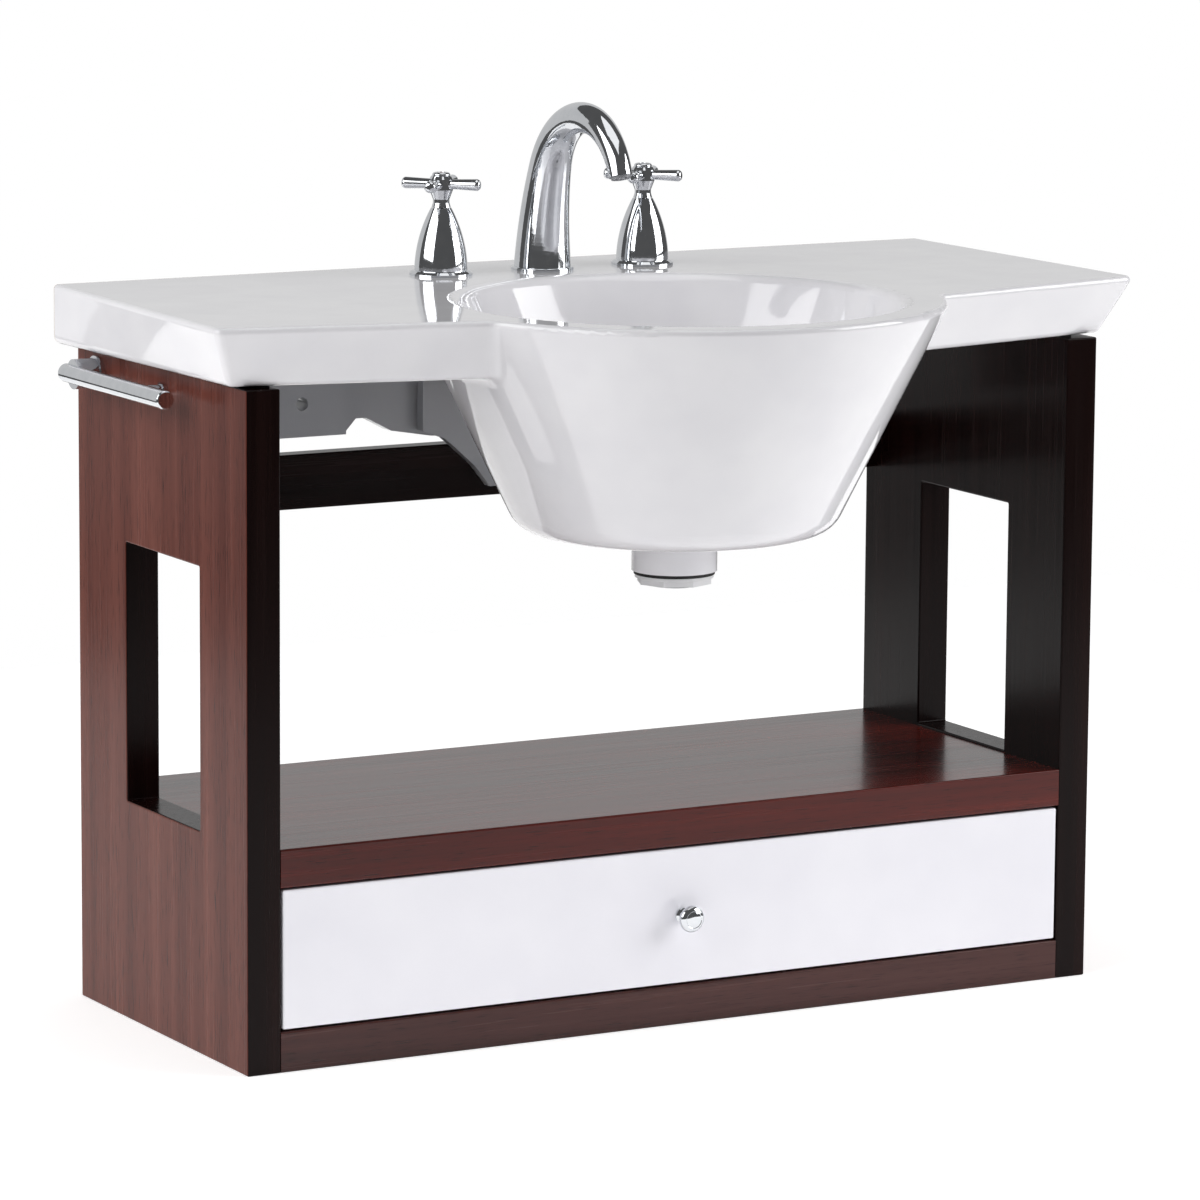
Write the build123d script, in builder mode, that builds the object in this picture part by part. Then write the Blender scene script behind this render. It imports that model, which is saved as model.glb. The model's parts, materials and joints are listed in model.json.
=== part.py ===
"""Wall-hung wash console: one-piece ceramic top with a round front bowl, on a stained
wooden frame with an open shelf and one drawer, a three-hole mixer and a side towel bar.
Millimetres, +Z up, +Y towards the wall, origin under the middle of the whole object."""

import math
import os

from build123d import *

os.makedirs("parts", exist_ok=True)

# Ceramic top
top_width = 900.0
deck_z = 632.0
top_thickness = 52.0
deck_thickness = 15.0
ceramic_wall = 14.0
wall_y = 274.0
corner_y = -74.0
front_sweep = 12.0
lower_inset = 23.0
rear_inset = 11.0
rib_inner_x = 372.0
rib_thickness = 30.0

# Bowl and basin
bowl_y = -43.0
bowl_radius = 233.43
bowl_slope = 0.492
bowl_bottom_z = 431.0
bowl_foot_round = 30.0
basin_y = -50.0
basin_radius = 192.0
basin_floor_z = 449.0
basin_foot_round = 40.0
basin_rim_round = 12.0
blend_radius = 18.0
drain_y = -43.0
drain_hole_radius = 23.0
boss_radius = 37.0
boss_bottom_z = 397.0
overflow_z = 574.0
overflow_radius = 11.0

# Rear skirt of the ceramic and its wall bolts
skirt_thickness = 16.0
lug_thickness = 30.0
lug_width = 92.0
lug_low_z = 487.0
web_low_z = 476.0
apron_thickness = 11.0
apron_rear_y = 253.5
apron_low_z = 433.0
wall_bolt_x = 215.0
wall_bolt_z = 518.0
wall_bolt_radius = 6.0

# Wooden frame
frame_width = 834.0
frame_front_y = -63.0
side_thickness = 31.0
pad_thickness = 2.0
bottom_thickness = 35.0
shelf_bottom_z = 158.0
shelf_thickness = 33.0
rail_bottom_z = 423.0
rail_height = 49.0
rail_thickness = 20.0
bay_back_thickness = 8.0
bay_back_y = 262.0
window_front_y = 29.0
window_rear_y = 176.0
window_bottom_z = 193.0
window_top_z = 419.0
wood_round = 1.5
dowel_radius = 4.0
dowel_length = 34.0
dowel_in_side = 15.0

# Drawer and slides
front_gap = 2.0
front_thickness = 18.0
side_clearance = 13.0
box_board = 12.0
box_bottom_z = 50.0
box_top_z = 140.0
box_rear_y = 245.0
box_floor_thickness = 6.0
slide_z = 92.0
slide_length = 280.0
slide_front_y = -42.0
slide_half_height = 22.0
slide_metal = 1.2
slide_gap = 0.4
slide_head_room = 2.4
slide_screw_radius = 1.75

# Mixer
mixer_y = 198.0
handle_spacing = 203.0
deck_hole_radius = 17.5
nut_room_radius = 26.0
shank_radius = 13.5
shank_bottom_z = 556.0
inlet_radius = 10.4
inlet_length = 15.0
spout_base_radius = 25.5
spout_tip_radius = 10.5
spout_rise_radius = 303.0
spout_rise_angle = 17.3
spout_arch_radius = 67.0
spout_arch_angle = 144.0
spout_ring = 3.0
bell_radius = 23.5
bell_flange_radius = 28.0
bell_height = 59.0
neck_radius = 8.5
arm_height = 80.0
arm_reach = 36.0
stem_radius = 3.5
running_clearance = 0.05

# Waste
flange_thickness = 3.0
waste_radius = 21.5
waste_bore = 17.0
waste_throat = 18.0
waste_bottom_z = 384.0
guide_low_z = 418.0
guide_height = 10.0
flange_radius = 33.0
gasket_thickness = 3.0
nut_collar = 3.0
nut_height = 8.0
stopper_radius = 27.0

# Towel bar
bar_x = -441.0
bar_z = 559.0
bar_radius = 8.0
bar_front_y = 42.0
bar_rear_y = 245.0
bar_post_places = [(96.0, 6.0, 8.0), (230.0, 13.0, 15.0)]

# Values worked out from the ones above
top_bottom_z = deck_z - top_thickness
sweep_slope = math.tan(math.radians(front_sweep))
frame_half = frame_width / 2
bay_half = frame_half - side_thickness
side_top_z = top_bottom_z - pad_thickness
frame_depth = wall_y - frame_front_y
board_width = 2 * bay_half
box_half = bay_half - side_clearance
front_rear_y = frame_front_y + front_thickness
front_bottom_z = bottom_thickness + front_gap
front_top_z = shelf_bottom_z - front_gap
knob_z = (front_bottom_z + front_top_z) / 2
deck_under_z = deck_z - deck_thickness
handle_x = handle_spacing / 2
deck_fixing_places = [(x, mixer_y) for x in (-handle_x, 0, handle_x)]


def finish(piece, name):
    """Label a finished piece and write its STEP file."""
    piece.part.label = name
    export_step(piece.part, f"parts/{name}.step")


def facing_front(y):
    """Upright plane at y whose sketches read X across and Z up, seen from the front."""
    return Plane(origin=(0, y, 0), x_dir=(1, 0, 0), z_dir=(0, -1, 0))


def facing_right(x):
    """Upright plane at x whose sketches read Y across and Z up, seen from the right."""
    return Plane(origin=(x, 0, 0), x_dir=(0, 1, 0), z_dir=(1, 0, 0))


def on_level(edges, z):
    """The edges that lie flat at height z."""
    flat_edges = edges.filter_by(lambda e: e.bounding_box().size.Z < 0.01)
    return flat_edges.filter_by(lambda e: abs(e.center().Z - z) < 0.01)


def console_outline(half_front, half_rear, front_y, rear_y):
    """Plan outline whose front sweeps forward from both corners to the middle."""
    with BuildSketch(mode=Mode.PRIVATE) as outline:
        with BuildLine():
            Polyline(
                (-half_rear, rear_y),
                (-half_front, front_y),
                (0, front_y - half_front * sweep_slope),
                (half_front, front_y),
                (half_rear, rear_y),
                close=True,
            )
        make_face()
    return outline.sketch


def bowl_section(rim_radius, floor_z, foot_round):
    """Half section of a round bowl: radius across, height up, rounded at its foot."""
    foot_radius = rim_radius - bowl_slope * (deck_z - floor_z)
    with BuildSketch(mode=Mode.PRIVATE) as section:
        with BuildLine():
            Polyline((0, deck_z), (rim_radius, deck_z), (foot_radius, floor_z), (0, floor_z), close=True)
        make_face()
        fillet(section.vertices().sort_by(Axis.Y)[:2].sort_by(Axis.X)[-1], foot_round)
    return section.sketch


def skirt_outline():
    """Right half of the rear skirt: low web behind the bowl, a step, and a deeper wall lug."""
    with BuildSketch(mode=Mode.PRIVATE) as outline:
        with BuildLine():
            Polyline(
                (0, web_low_z),
                (80, web_low_z + 4),
                (120, web_low_z + 11),
                (145, web_low_z + 24),
                (155, web_low_z + 24),
                (167, lug_low_z),
                (262, lug_low_z),
                (276, top_bottom_z + 1),
                (0, top_bottom_z + 1),
                close=True,
            )
        make_face()
    return outline.sketch


def apron_outline():
    """Right half of the apron that hangs in front of the skirt and hides the waste."""
    with BuildSketch(mode=Mode.PRIVATE) as outline:
        with BuildLine():
            Polyline((0, apron_low_z), (28, apron_low_z), (43, apron_low_z + 19), (62, apron_low_z + 36))
            Polyline((62, apron_low_z + 36), (74, apron_low_z + 46), (96, apron_low_z + 54))
            Polyline((96, apron_low_z + 54), (96, top_bottom_z + 1), (0, top_bottom_z + 1))
            Line((0, top_bottom_z + 1), (0, apron_low_z))
        make_face()
    return outline.sketch


# Ceramic top with its bowl, in one piece
half_top = top_width / 2
half_rear = half_top - rear_inset
half_low = half_top - lower_inset
low_corner_y = corner_y + lower_inset
rib_front_y = low_corner_y - (half_low - rib_inner_x) * sweep_slope + ceramic_wall
overflow_y = basin_y + basin_radius - bowl_slope * (deck_z - overflow_z)
wall_tilt = math.atan(bowl_slope)
overflow_plane = Plane(
    origin=(0, overflow_y, overflow_z),
    x_dir=(1, 0, 0),
    z_dir=(0, -math.cos(wall_tilt), math.sin(wall_tilt)),
)
channel_low_y = 63.0
channel_low_z = 439.5
channel_high_y = 132.0
channel_high_z = 580.0
channel_depth = 8.0

with BuildPart() as ceramic_top:
    with BuildSketch(Plane.XY.offset(top_bottom_z)):
        add(console_outline(half_low, half_rear, low_corner_y, wall_y))
    with BuildSketch(Plane.XY.offset(deck_z)):
        add(console_outline(half_top, half_rear, corner_y, wall_y))
    loft(ruled=True)
    corner_edges = ceramic_top.edges().filter_by(lambda e: abs(e.center().X) > 400 and e.center().Y < -55)
    fillet(corner_edges.filter_by(lambda e: e.length < 70), 9)
    lower_edges = on_level(ceramic_top.edges(), top_bottom_z)
    fillet(lower_edges.filter_by(lambda e: e.center().Y < wall_y - 1), 8)
    with BuildSketch(facing_front(bowl_y)):
        add(bowl_section(bowl_radius, bowl_bottom_z, bowl_foot_round))
    revolve(axis=Axis((0, bowl_y, 0), (0, 0, 1)))
    meeting_edges = ceramic_top.edges().filter_by(lambda e: 190 < abs(e.center().X) < 228)
    meeting_edges = meeting_edges.filter_by(lambda e: e.center().Y < -90)
    fillet(meeting_edges.filter_by(lambda e: 570 < e.center().Z < deck_z - 1), blend_radius)
    deck_edges = on_level(ceramic_top.edges(), deck_z)
    fillet(deck_edges.filter_by(lambda e: e.center().Y < wall_y - 1), 4)
    # the deck is hollow below, between two ribs that stand on the wooden sides
    with BuildSketch(Plane.XY.offset(top_bottom_z)):
        add(console_outline(rib_inner_x, rib_inner_x, rib_front_y, wall_y - ceramic_wall))
        with Locations((0, bowl_y)):
            Circle(bowl_radius - bowl_slope * top_thickness, mode=Mode.SUBTRACT)
    extrude(amount=top_thickness - deck_thickness, mode=Mode.SUBTRACT)
    for side in (-1, 1):
        with BuildSketch(Plane.XY.offset(top_bottom_z)):
            with Locations((side * (rib_inner_x + rib_thickness + 6), 100)):
                Rectangle(12, 250)
        extrude(amount=top_thickness - deck_thickness, mode=Mode.SUBTRACT)
    # room for the mixer's nuts behind the bowl
    with BuildSketch(Plane.XY.offset(shank_bottom_z)):
        with Locations(*deck_fixing_places):
            Circle(nut_room_radius)
    extrude(amount=deck_under_z - shank_bottom_z, mode=Mode.SUBTRACT)
    # boss under the bowl, rear skirt, apron and wall lugs
    with BuildSketch(Plane.XY.offset(boss_bottom_z)):
        with Locations((0, drain_y)):
            Circle(boss_radius)
    extrude(amount=bowl_bottom_z - boss_bottom_z + 2)
    with BuildSketch(facing_front(wall_y)):
        add(skirt_outline())
        mirror(about=Plane.YZ)
    extrude(amount=skirt_thickness)
    with BuildSketch(facing_front(apron_rear_y)):
        add(apron_outline())
        mirror(about=Plane.YZ)
    extrude(amount=apron_thickness)
    with BuildSketch(facing_front(wall_y)):
        with Locations((0, (web_low_z + top_bottom_z) / 2 + 6)):
            Rectangle(150, top_bottom_z - web_low_z - 10)
    extrude(amount=wall_y - apron_rear_y + 1)
    for side in (-1, 1):
        with BuildSketch(facing_front(wall_y)):
            with Locations((side * wall_bolt_x, (lug_low_z + top_bottom_z) / 2)):
                Rectangle(lug_width, top_bottom_z - lug_low_z + 2)
        extrude(amount=lug_thickness, taper=5)
    # basin, its soft rim, the drain seat and the overflow with its channel
    with BuildSketch(facing_front(basin_y)):
        add(bowl_section(basin_radius, basin_floor_z, basin_foot_round))
    revolve(axis=Axis((0, basin_y, 0), (0, 0, 1)), mode=Mode.SUBTRACT)
    rim_edges = on_level(ceramic_top.edges(), deck_z)
    fillet(rim_edges.filter_by(lambda e: e.length > 1000 and e.center().Y < wall_y - 1), basin_rim_round)
    with Locations((0, drain_y, basin_floor_z)):
        CounterBoreHole(drain_hole_radius, flange_radius + 0.3, flange_thickness, 60)
    with BuildSketch(facing_right(-ceramic_wall)):
        with BuildLine():
            Polyline(
                (channel_low_y - channel_depth, channel_low_z),
                (channel_high_y - channel_depth, channel_high_z),
                (channel_high_y, channel_high_z),
                (channel_low_y, channel_low_z),
                close=True,
            )
        make_face()
    extrude(amount=2 * ceramic_wall, mode=Mode.SUBTRACT)
    with BuildSketch(overflow_plane.offset(-16)):
        Circle(overflow_radius)
    extrude(amount=30, mode=Mode.SUBTRACT)
    with BuildSketch(facing_front(channel_low_y - 2)):
        with Locations((0, channel_low_z)):
            Circle(4)
    extrude(amount=channel_low_y - drain_y - drain_hole_radius, mode=Mode.SUBTRACT)
    # wall bolt holes and the three mixer holes
    with BuildSketch(facing_front(wall_y)):
        with Locations((-wall_bolt_x, wall_bolt_z), (wall_bolt_x, wall_bolt_z)):
            Circle(wall_bolt_radius)
    extrude(amount=2 * lug_thickness, both=True, mode=Mode.SUBTRACT)
    with BuildSketch(Plane.XY.offset(deck_z)):
        with Locations(*deck_fixing_places):
            Circle(deck_hole_radius)
    extrude(amount=-2 * deck_thickness, mode=Mode.SUBTRACT)
finish(ceramic_top, "ceramic_top")

with BuildPart() as basin_pads:
    for side in (-1, 1):
        for pad_y in (-30, 80, 190):
            with BuildSketch(Plane.XY.offset(side_top_z)):
                with Locations((side * (bay_half + 8), pad_y)):
                    RectangleRounded(12, 40, 4)
            extrude(amount=pad_thickness)
finish(basin_pads, "basin_pads")


# Wooden frame: two sides with a window each, three boards and a rail between them, on dowels
bottom_dowels = [(y, bottom_thickness / 2) for y in (-30, 100, 230)]
shelf_dowels = [(y, shelf_bottom_z + shelf_thickness / 2) for y in (-30, 100, 230)]
rail_dowels = [(wall_y - rail_thickness / 2, rail_bottom_z + z) for z in (12, 37)]
all_dowels = bottom_dowels + shelf_dowels + rail_dowels
cabinet_slide_screws = [(y, slide_z) for y in (-22, 94, 218)]
drawer_slide_screws = [(y, slide_z) for y in (-10, 80, 190)]
hanger_z = 540.0
window_middle_y = (window_front_y + window_rear_y) / 2
window_length = window_rear_y - window_front_y


def side_panel(side):
    """Side board with its window, dowel holes and a recess for the wall hanger at the rear."""
    with BuildPart() as panel:
        with BuildSketch(facing_right(side * frame_half)):
            with Locations(((frame_front_y + wall_y) / 2, side_top_z / 2)):
                Rectangle(frame_depth, side_top_z)
            with Locations((window_middle_y, (window_bottom_z + window_top_z) / 2)):
                Rectangle(window_length, window_top_z - window_bottom_z, mode=Mode.SUBTRACT)
        extrude(amount=-side * side_thickness)
        fillet(panel.edges(), wood_round)
        with BuildSketch(facing_right(side * bay_half)):
            with Locations(*all_dowels):
                Circle(dowel_radius)
        extrude(amount=side * dowel_in_side, mode=Mode.SUBTRACT)
        with BuildSketch(facing_front(wall_y)):
            with Locations((side * (bay_half + side_thickness / 2), hanger_z)):
                Rectangle(20, 60)
        extrude(amount=3, mode=Mode.SUBTRACT)
        with BuildSketch(facing_front(wall_y)):
            with Locations((side * (bay_half + side_thickness / 2), hanger_z)):
                SlotOverall(30, 12, rotation=90)
        extrude(amount=14, mode=Mode.SUBTRACT)
        with BuildSketch(facing_front(wall_y)):
            with Locations(*hanger_screw_places(side)):
                Circle(1.6)
        extrude(amount=22, mode=Mode.SUBTRACT)
        with BuildSketch(facing_right(side * bay_half)):
            with Locations(*cabinet_slide_screws):
                Circle(slide_screw_radius)
        extrude(amount=side * 13, mode=Mode.SUBTRACT)
        if side < 0:
            with BuildSketch(facing_right(-frame_half)):
                with Locations(*[(post_y, bar_z) for post_y, _, _ in bar_post_places]):
                    Circle(2.5)
            extrude(amount=20, mode=Mode.SUBTRACT)
    return panel


def hanger_screw_places(side):
    """Places of the two screws of a hanger plate, across and up."""
    plate_x = side * (bay_half + side_thickness / 2)
    return [(plate_x, hanger_z - 24), (plate_x, hanger_z + 24)]


def cross_board(low_y, high_y, low_z, high_z, dowels):
    """Board between the two sides, with dowel holes in both ends."""
    with BuildPart() as board:
        with BuildSketch(facing_right(-bay_half)):
            with Locations(((low_y + high_y) / 2, (low_z + high_z) / 2)):
                Rectangle(high_y - low_y, high_z - low_z)
        extrude(amount=board_width)
        fillet(board.edges().filter_by(Axis.X), wood_round)
        for side in (-1, 1):
            with BuildSketch(facing_right(side * bay_half)):
                with Locations(*dowels):
                    Circle(dowel_radius)
            extrude(amount=-side * (dowel_length - dowel_in_side + 1), mode=Mode.SUBTRACT)
    return board


left_side_panel = side_panel(-1)
right_side_panel = side_panel(1)
finish(left_side_panel, "left_side_panel")
finish(right_side_panel, "right_side_panel")

bottom_panel = cross_board(frame_front_y, wall_y, 0, bottom_thickness, bottom_dowels)
finish(bottom_panel, "bottom_panel")
shelf_top_z = shelf_bottom_z + shelf_thickness
shelf_panel = cross_board(frame_front_y, wall_y, shelf_bottom_z, shelf_top_z, shelf_dowels)
finish(shelf_panel, "shelf_panel")
rail_front_y = wall_y - rail_thickness
back_rail = cross_board(rail_front_y, wall_y, rail_bottom_z, rail_bottom_z + rail_height, rail_dowels)
finish(back_rail, "back_rail")

with BuildPart() as drawer_bay_back:
    with BuildSketch(facing_front(bay_back_y + bay_back_thickness)):
        with Locations((0, (bottom_thickness + shelf_bottom_z) / 2)):
            Rectangle(board_width, shelf_bottom_z - bottom_thickness)
    extrude(amount=bay_back_thickness)
finish(drawer_bay_back, "drawer_bay_back")

with BuildPart() as frame_dowels:
    for side in (-1, 1):
        with BuildSketch(facing_right(side * (bay_half + dowel_in_side - 0.5))):
            with Locations(*all_dowels):
                Circle(dowel_radius)
        extrude(amount=-side * (dowel_length - 1))
finish(frame_dowels, "frame_dowels")


def hanger_plate(side):
    """Keyhole plate let into the rear edge of a side board."""
    plate_x = side * (bay_half + side_thickness / 2)
    with BuildPart() as plate:
        with BuildSketch(facing_front(wall_y)):
            with Locations((plate_x, hanger_z)):
                Rectangle(20, 60)
            with Locations((plate_x, hanger_z - 7)):
                Circle(5.5, mode=Mode.SUBTRACT)
            with Locations((plate_x, hanger_z + 2)):
                SlotOverall(22, 5, rotation=90, mode=Mode.SUBTRACT)
            with Locations(*hanger_screw_places(side)):
                Circle(2, mode=Mode.SUBTRACT)
        extrude(amount=3)
    return plate


finish(hanger_plate(-1), "left_hanger_plate")
finish(hanger_plate(1), "right_hanger_plate")

with BuildPart() as hanger_screws:
    for side in (-1, 1):
        with BuildSketch(facing_front(wall_y)):
            with Locations(*hanger_screw_places(side)):
                Circle(2)
        extrude(amount=3)
        with BuildSketch(facing_front(wall_y - 3)):
            with Locations(*hanger_screw_places(side)):
                Circle(1.6)
        extrude(amount=18)
finish(hanger_screws, "hanger_screws")


# Drawer: lacquered front on a box of thin boards
box_front_y = front_rear_y
box_inner_half = box_half - box_board
box_inner_front_y = box_front_y + box_board
front_screw_places = [(x, z) for x in (-250, 250) for z in (72, 120)]

with BuildPart() as drawer_front:
    with BuildSketch(facing_front(front_rear_y)):
        with Locations((0, knob_z)):
            Rectangle(2 * (bay_half - front_gap), front_top_z - front_bottom_z)
    extrude(amount=front_thickness)
    fillet(drawer_front.edges(), wood_round)
    with BuildSketch(facing_front(front_rear_y)):
        with Locations((0, knob_z)):
            Circle(2)
    extrude(amount=front_thickness, mode=Mode.SUBTRACT)
    with BuildSketch(facing_front(front_rear_y)):
        with Locations(*front_screw_places):
            Circle(2)
    extrude(amount=12, mode=Mode.SUBTRACT)
finish(drawer_front, "drawer_front")

with BuildPart() as drawer_box_front:
    with BuildSketch(facing_front(box_inner_front_y)):
        with Locations((0, (box_bottom_z + box_top_z) / 2)):
            Rectangle(2 * box_inner_half, box_top_z - box_bottom_z)
        with Locations((0, knob_z), *front_screw_places):
            Circle(2, mode=Mode.SUBTRACT)
    extrude(amount=box_board)
    fillet(drawer_box_front.edges().filter_by(Axis.X).group_by(Axis.Z)[-1], 2)
finish(drawer_box_front, "drawer_box_front")


def drawer_side(side):
    """Side of the drawer box, with pilot holes for the slide screws."""
    with BuildPart() as board:
        with BuildSketch(facing_right(side * box_half)):
            with Locations(((box_front_y + box_rear_y) / 2, (box_bottom_z + box_top_z) / 2)):
                Rectangle(box_rear_y - box_front_y, box_top_z - box_bottom_z)
        extrude(amount=-side * box_board)
        fillet(board.edges().filter_by(Axis.Y).group_by(Axis.Z)[-1], 2)
        with BuildSketch(facing_right(side * box_half)):
            with Locations(*drawer_slide_screws):
                Circle(slide_screw_radius)
        extrude(amount=-side * 9, mode=Mode.SUBTRACT)
    return board


finish(drawer_side(-1), "drawer_left_side")
finish(drawer_side(1), "drawer_right_side")

with BuildPart() as drawer_back:
    with BuildSketch(facing_front(box_rear_y)):
        with Locations((0, (box_bottom_z + box_top_z) / 2)):
            Rectangle(2 * box_inner_half, box_top_z - box_bottom_z)
    extrude(amount=box_board)
    fillet(drawer_back.edges().filter_by(Axis.X).group_by(Axis.Z)[-1], 2)
finish(drawer_back, "drawer_back")

with BuildPart() as drawer_bottom:
    with BuildSketch(Plane.XY.offset(box_bottom_z)):
        with Locations((0, (box_inner_front_y + box_rear_y - box_board) / 2)):
            Rectangle(2 * box_inner_half, box_rear_y - box_board - box_inner_front_y)
    extrude(amount=box_floor_thickness)
finish(drawer_bottom, "drawer_bottom")

with BuildPart() as drawer_front_screws:
    with BuildSketch(facing_front(box_inner_front_y)):
        with Locations(*front_screw_places):
            Circle(2)
    extrude(amount=box_board + 11)
    with BuildSketch(facing_front(box_inner_front_y)):
        with Locations(*front_screw_places):
            Circle(4)
    extrude(amount=-2)
finish(drawer_front_screws, "drawer_front_screws")

with BuildPart() as drawer_knob:
    with BuildSketch(Plane(origin=(0, frame_front_y, knob_z), x_dir=(1, 0, 0), z_dir=(0, 0, 1))):
        with BuildLine():
            Polyline((0, -22), (0, 0), (7, 0), (7, -2), (4.5, -4), (4.5, -10), (10, -13))
            Spline((10, -13), (12, -16.5), (7, -21.3), (0, -22), tangents=((1, -0.4), (-1, 0)))
        make_face()
    revolve(axis=Axis((0, 0, knob_z), (0, 1, 0)))
    with BuildSketch(facing_front(frame_front_y)):
        with Locations((0, knob_z)):
            Circle(2)
    extrude(amount=10, mode=Mode.SUBTRACT)
finish(drawer_knob, "drawer_knob")

with BuildPart() as knob_screw:
    with BuildSketch(facing_front(box_inner_front_y)):
        with Locations((0, knob_z)):
            Circle(2)
    extrude(amount=box_board + front_thickness + 9)
    with BuildSketch(facing_front(box_inner_front_y)):
        with Locations((0, knob_z)):
            Circle(4)
    extrude(amount=-2.5)
finish(knob_screw, "knob_screw")


# Drawer slides: three nested channels on each side
def slide_member(web_x, opening, half_height, lip_depth, screws):
    """Channel whose web stands at web_x and whose lips point along opening, +1 or -1 in X."""
    with BuildPart() as member:
        with BuildSketch(facing_front(slide_front_y)):
            with Locations((web_x + opening * lip_depth / 2, slide_z)):
                Rectangle(lip_depth, 2 * half_height)
            with Locations((web_x + opening * (lip_depth / 2 + slide_metal), slide_z)):
                Rectangle(lip_depth, 2 * (half_height - slide_metal), mode=Mode.SUBTRACT)
        extrude(amount=-slide_length)
        if screws:
            with BuildSketch(facing_right(web_x)):
                with Locations(*screws):
                    Circle(slide_screw_radius)
            extrude(amount=opening * slide_metal, mode=Mode.SUBTRACT)
    return member


middle_half_height = slide_half_height - slide_metal - slide_gap
drawer_half_height = middle_half_height - slide_metal - slide_gap
middle_depth = slide_metal + slide_head_room
for side, side_name in ((-1, "left"), (1, "right")):
    cabinet_member = slide_member(side * bay_half, -side, slide_half_height, 9, cabinet_slide_screws)
    finish(cabinet_member, f"{side_name}_slide_cabinet")
    middle_member = slide_member(side * (bay_half - middle_depth), -side, middle_half_height, 7, [])
    finish(middle_member, f"{side_name}_slide_middle")
    drawer_member = slide_member(side * box_half, side, drawer_half_height, 7.4, drawer_slide_screws)
    finish(drawer_member, f"{side_name}_slide_drawer")


def slide_screws(web_half, opening, depth, places):
    """Pan-head screws of both slides; the heads lie inside the channels."""
    with BuildPart() as screws:
        for side in (-1, 1):
            head_x = side * (web_half + opening * slide_metal)
            with BuildSketch(facing_right(head_x)):
                with Locations(*places):
                    Circle(slide_screw_radius)
            extrude(amount=-side * opening * depth)
            with BuildSketch(facing_right(head_x)):
                with Locations(*places):
                    Circle(3.2)
            extrude(amount=side * opening * 1.6)
    return screws


finish(slide_screws(bay_half, -1, 13, cabinet_slide_screws), "slide_cabinet_screws")
finish(slide_screws(box_half, 1, 9.5, drawer_slide_screws), "slide_drawer_screws")


# Mixer: arched spout and two quarter-turn valves with cross handles
spout_foot_z = deck_z + spout_ring


def spout_radius(place):
    """Radius of the spout at a place from 0 at its foot to 1 at its tip."""
    return spout_tip_radius + (spout_base_radius - spout_tip_radius) * (1 - place) ** 1.4


with BuildPart() as spout:
    with BuildLine(facing_right(0)) as spout_path:
        rise = JernArc((mixer_y, spout_foot_z), (0, 1), spout_rise_radius, spout_rise_angle)
        JernArc(rise @ 1, rise % 1, spout_arch_radius, spout_arch_angle)
    spout_wire = spout_path.wire()
    for place in (0, 0.15, 0.35, 0.5, 0.7, 0.85, 1):
        with BuildSketch(Plane(origin=spout_wire @ place, x_dir=(1, 0, 0), z_dir=spout_wire % place)):
            Circle(spout_radius(place))
    sweep(path=spout_wire, multisection=True)
    with BuildSketch(Plane(origin=spout_wire @ 1, x_dir=(1, 0, 0), z_dir=spout_wire % 1)):
        Circle(9)
    extrude(amount=-10, mode=Mode.SUBTRACT)
    with BuildSketch(Plane.XY.offset(spout_foot_z)):
        with Locations((0, mixer_y)):
            Circle(shank_radius)
    extrude(amount=18, mode=Mode.SUBTRACT)
finish(spout, "spout")

with BuildPart() as aerator:
    with BuildSketch(Plane(origin=spout_wire @ 1, x_dir=(1, 0, 0), z_dir=spout_wire % 1)):
        Circle(9)
    extrude(amount=-9)
    with BuildSketch(Plane(origin=spout_wire @ 1, x_dir=(1, 0, 0), z_dir=spout_wire % 1)):
        Circle(9)
    extrude(amount=2, taper=12)
    with BuildSketch(Plane(origin=spout_wire @ 1, x_dir=(1, 0, 0), z_dir=spout_wire % 1).offset(2)):
        with PolarLocations(5, 6):
            Circle(1)
        Circle(1.2)
    extrude(amount=-5, mode=Mode.SUBTRACT)
finish(aerator, "aerator")

with BuildPart() as spout_base_ring:
    with BuildSketch(Plane.XY.offset(deck_z)):
        with Locations((0, mixer_y)):
            Circle(spout_base_radius + 2.5)
            Circle(shank_radius, mode=Mode.SUBTRACT)
    extrude(amount=spout_ring)
    fillet(spout_base_ring.edges().group_by(Axis.Z)[-1].sort_by(SortBy.LENGTH)[-1], 1.2)
finish(spout_base_ring, "spout_base_ring")

crossing_z = 568.0
crossing_radius = 6.0
crossing_depth = 5.0


def shank(x, top_z, bottom_z, crossing_sides):
    """Threaded shank through the deck, with a bore and sockets for the crossing tube."""
    with BuildPart() as body:
        with BuildSketch(Plane.XY.offset(shank_bottom_z)):
            with Locations((x, mixer_y)):
                Circle(shank_radius)
        extrude(amount=top_z - shank_bottom_z)
        if bottom_z < shank_bottom_z:
            with BuildSketch(Plane.XY.offset(bottom_z)):
                with Locations((x, mixer_y)):
                    Circle(inlet_radius)
            extrude(amount=shank_bottom_z - bottom_z)
            with BuildSketch(Plane.XY.offset(bottom_z)):
                with Locations((x, mixer_y)):
                    Circle(6)
            extrude(amount=crossing_z - bottom_z, mode=Mode.SUBTRACT)
        for side in crossing_sides:
            with BuildSketch(facing_right(x + side * shank_radius)):
                with Locations((mixer_y, crossing_z)):
                    Circle(crossing_radius)
            extrude(amount=-side * crossing_depth, mode=Mode.SUBTRACT)
    return body


finish(shank(0, spout_foot_z + 18, shank_bottom_z, (-1, 1)), "spout_shank")

with BuildPart() as mixer_crossing:
    for side in (-1, 1):
        with BuildSketch(facing_right(side * (shank_radius - crossing_depth))):
            with Locations((mixer_y, crossing_z)):
                Circle(crossing_radius)
                Circle(crossing_radius - 1.5, mode=Mode.SUBTRACT)
        extrude(amount=side * (handle_x - 2 * (shank_radius - crossing_depth)))
finish(mixer_crossing, "mixer_crossing")

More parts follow.
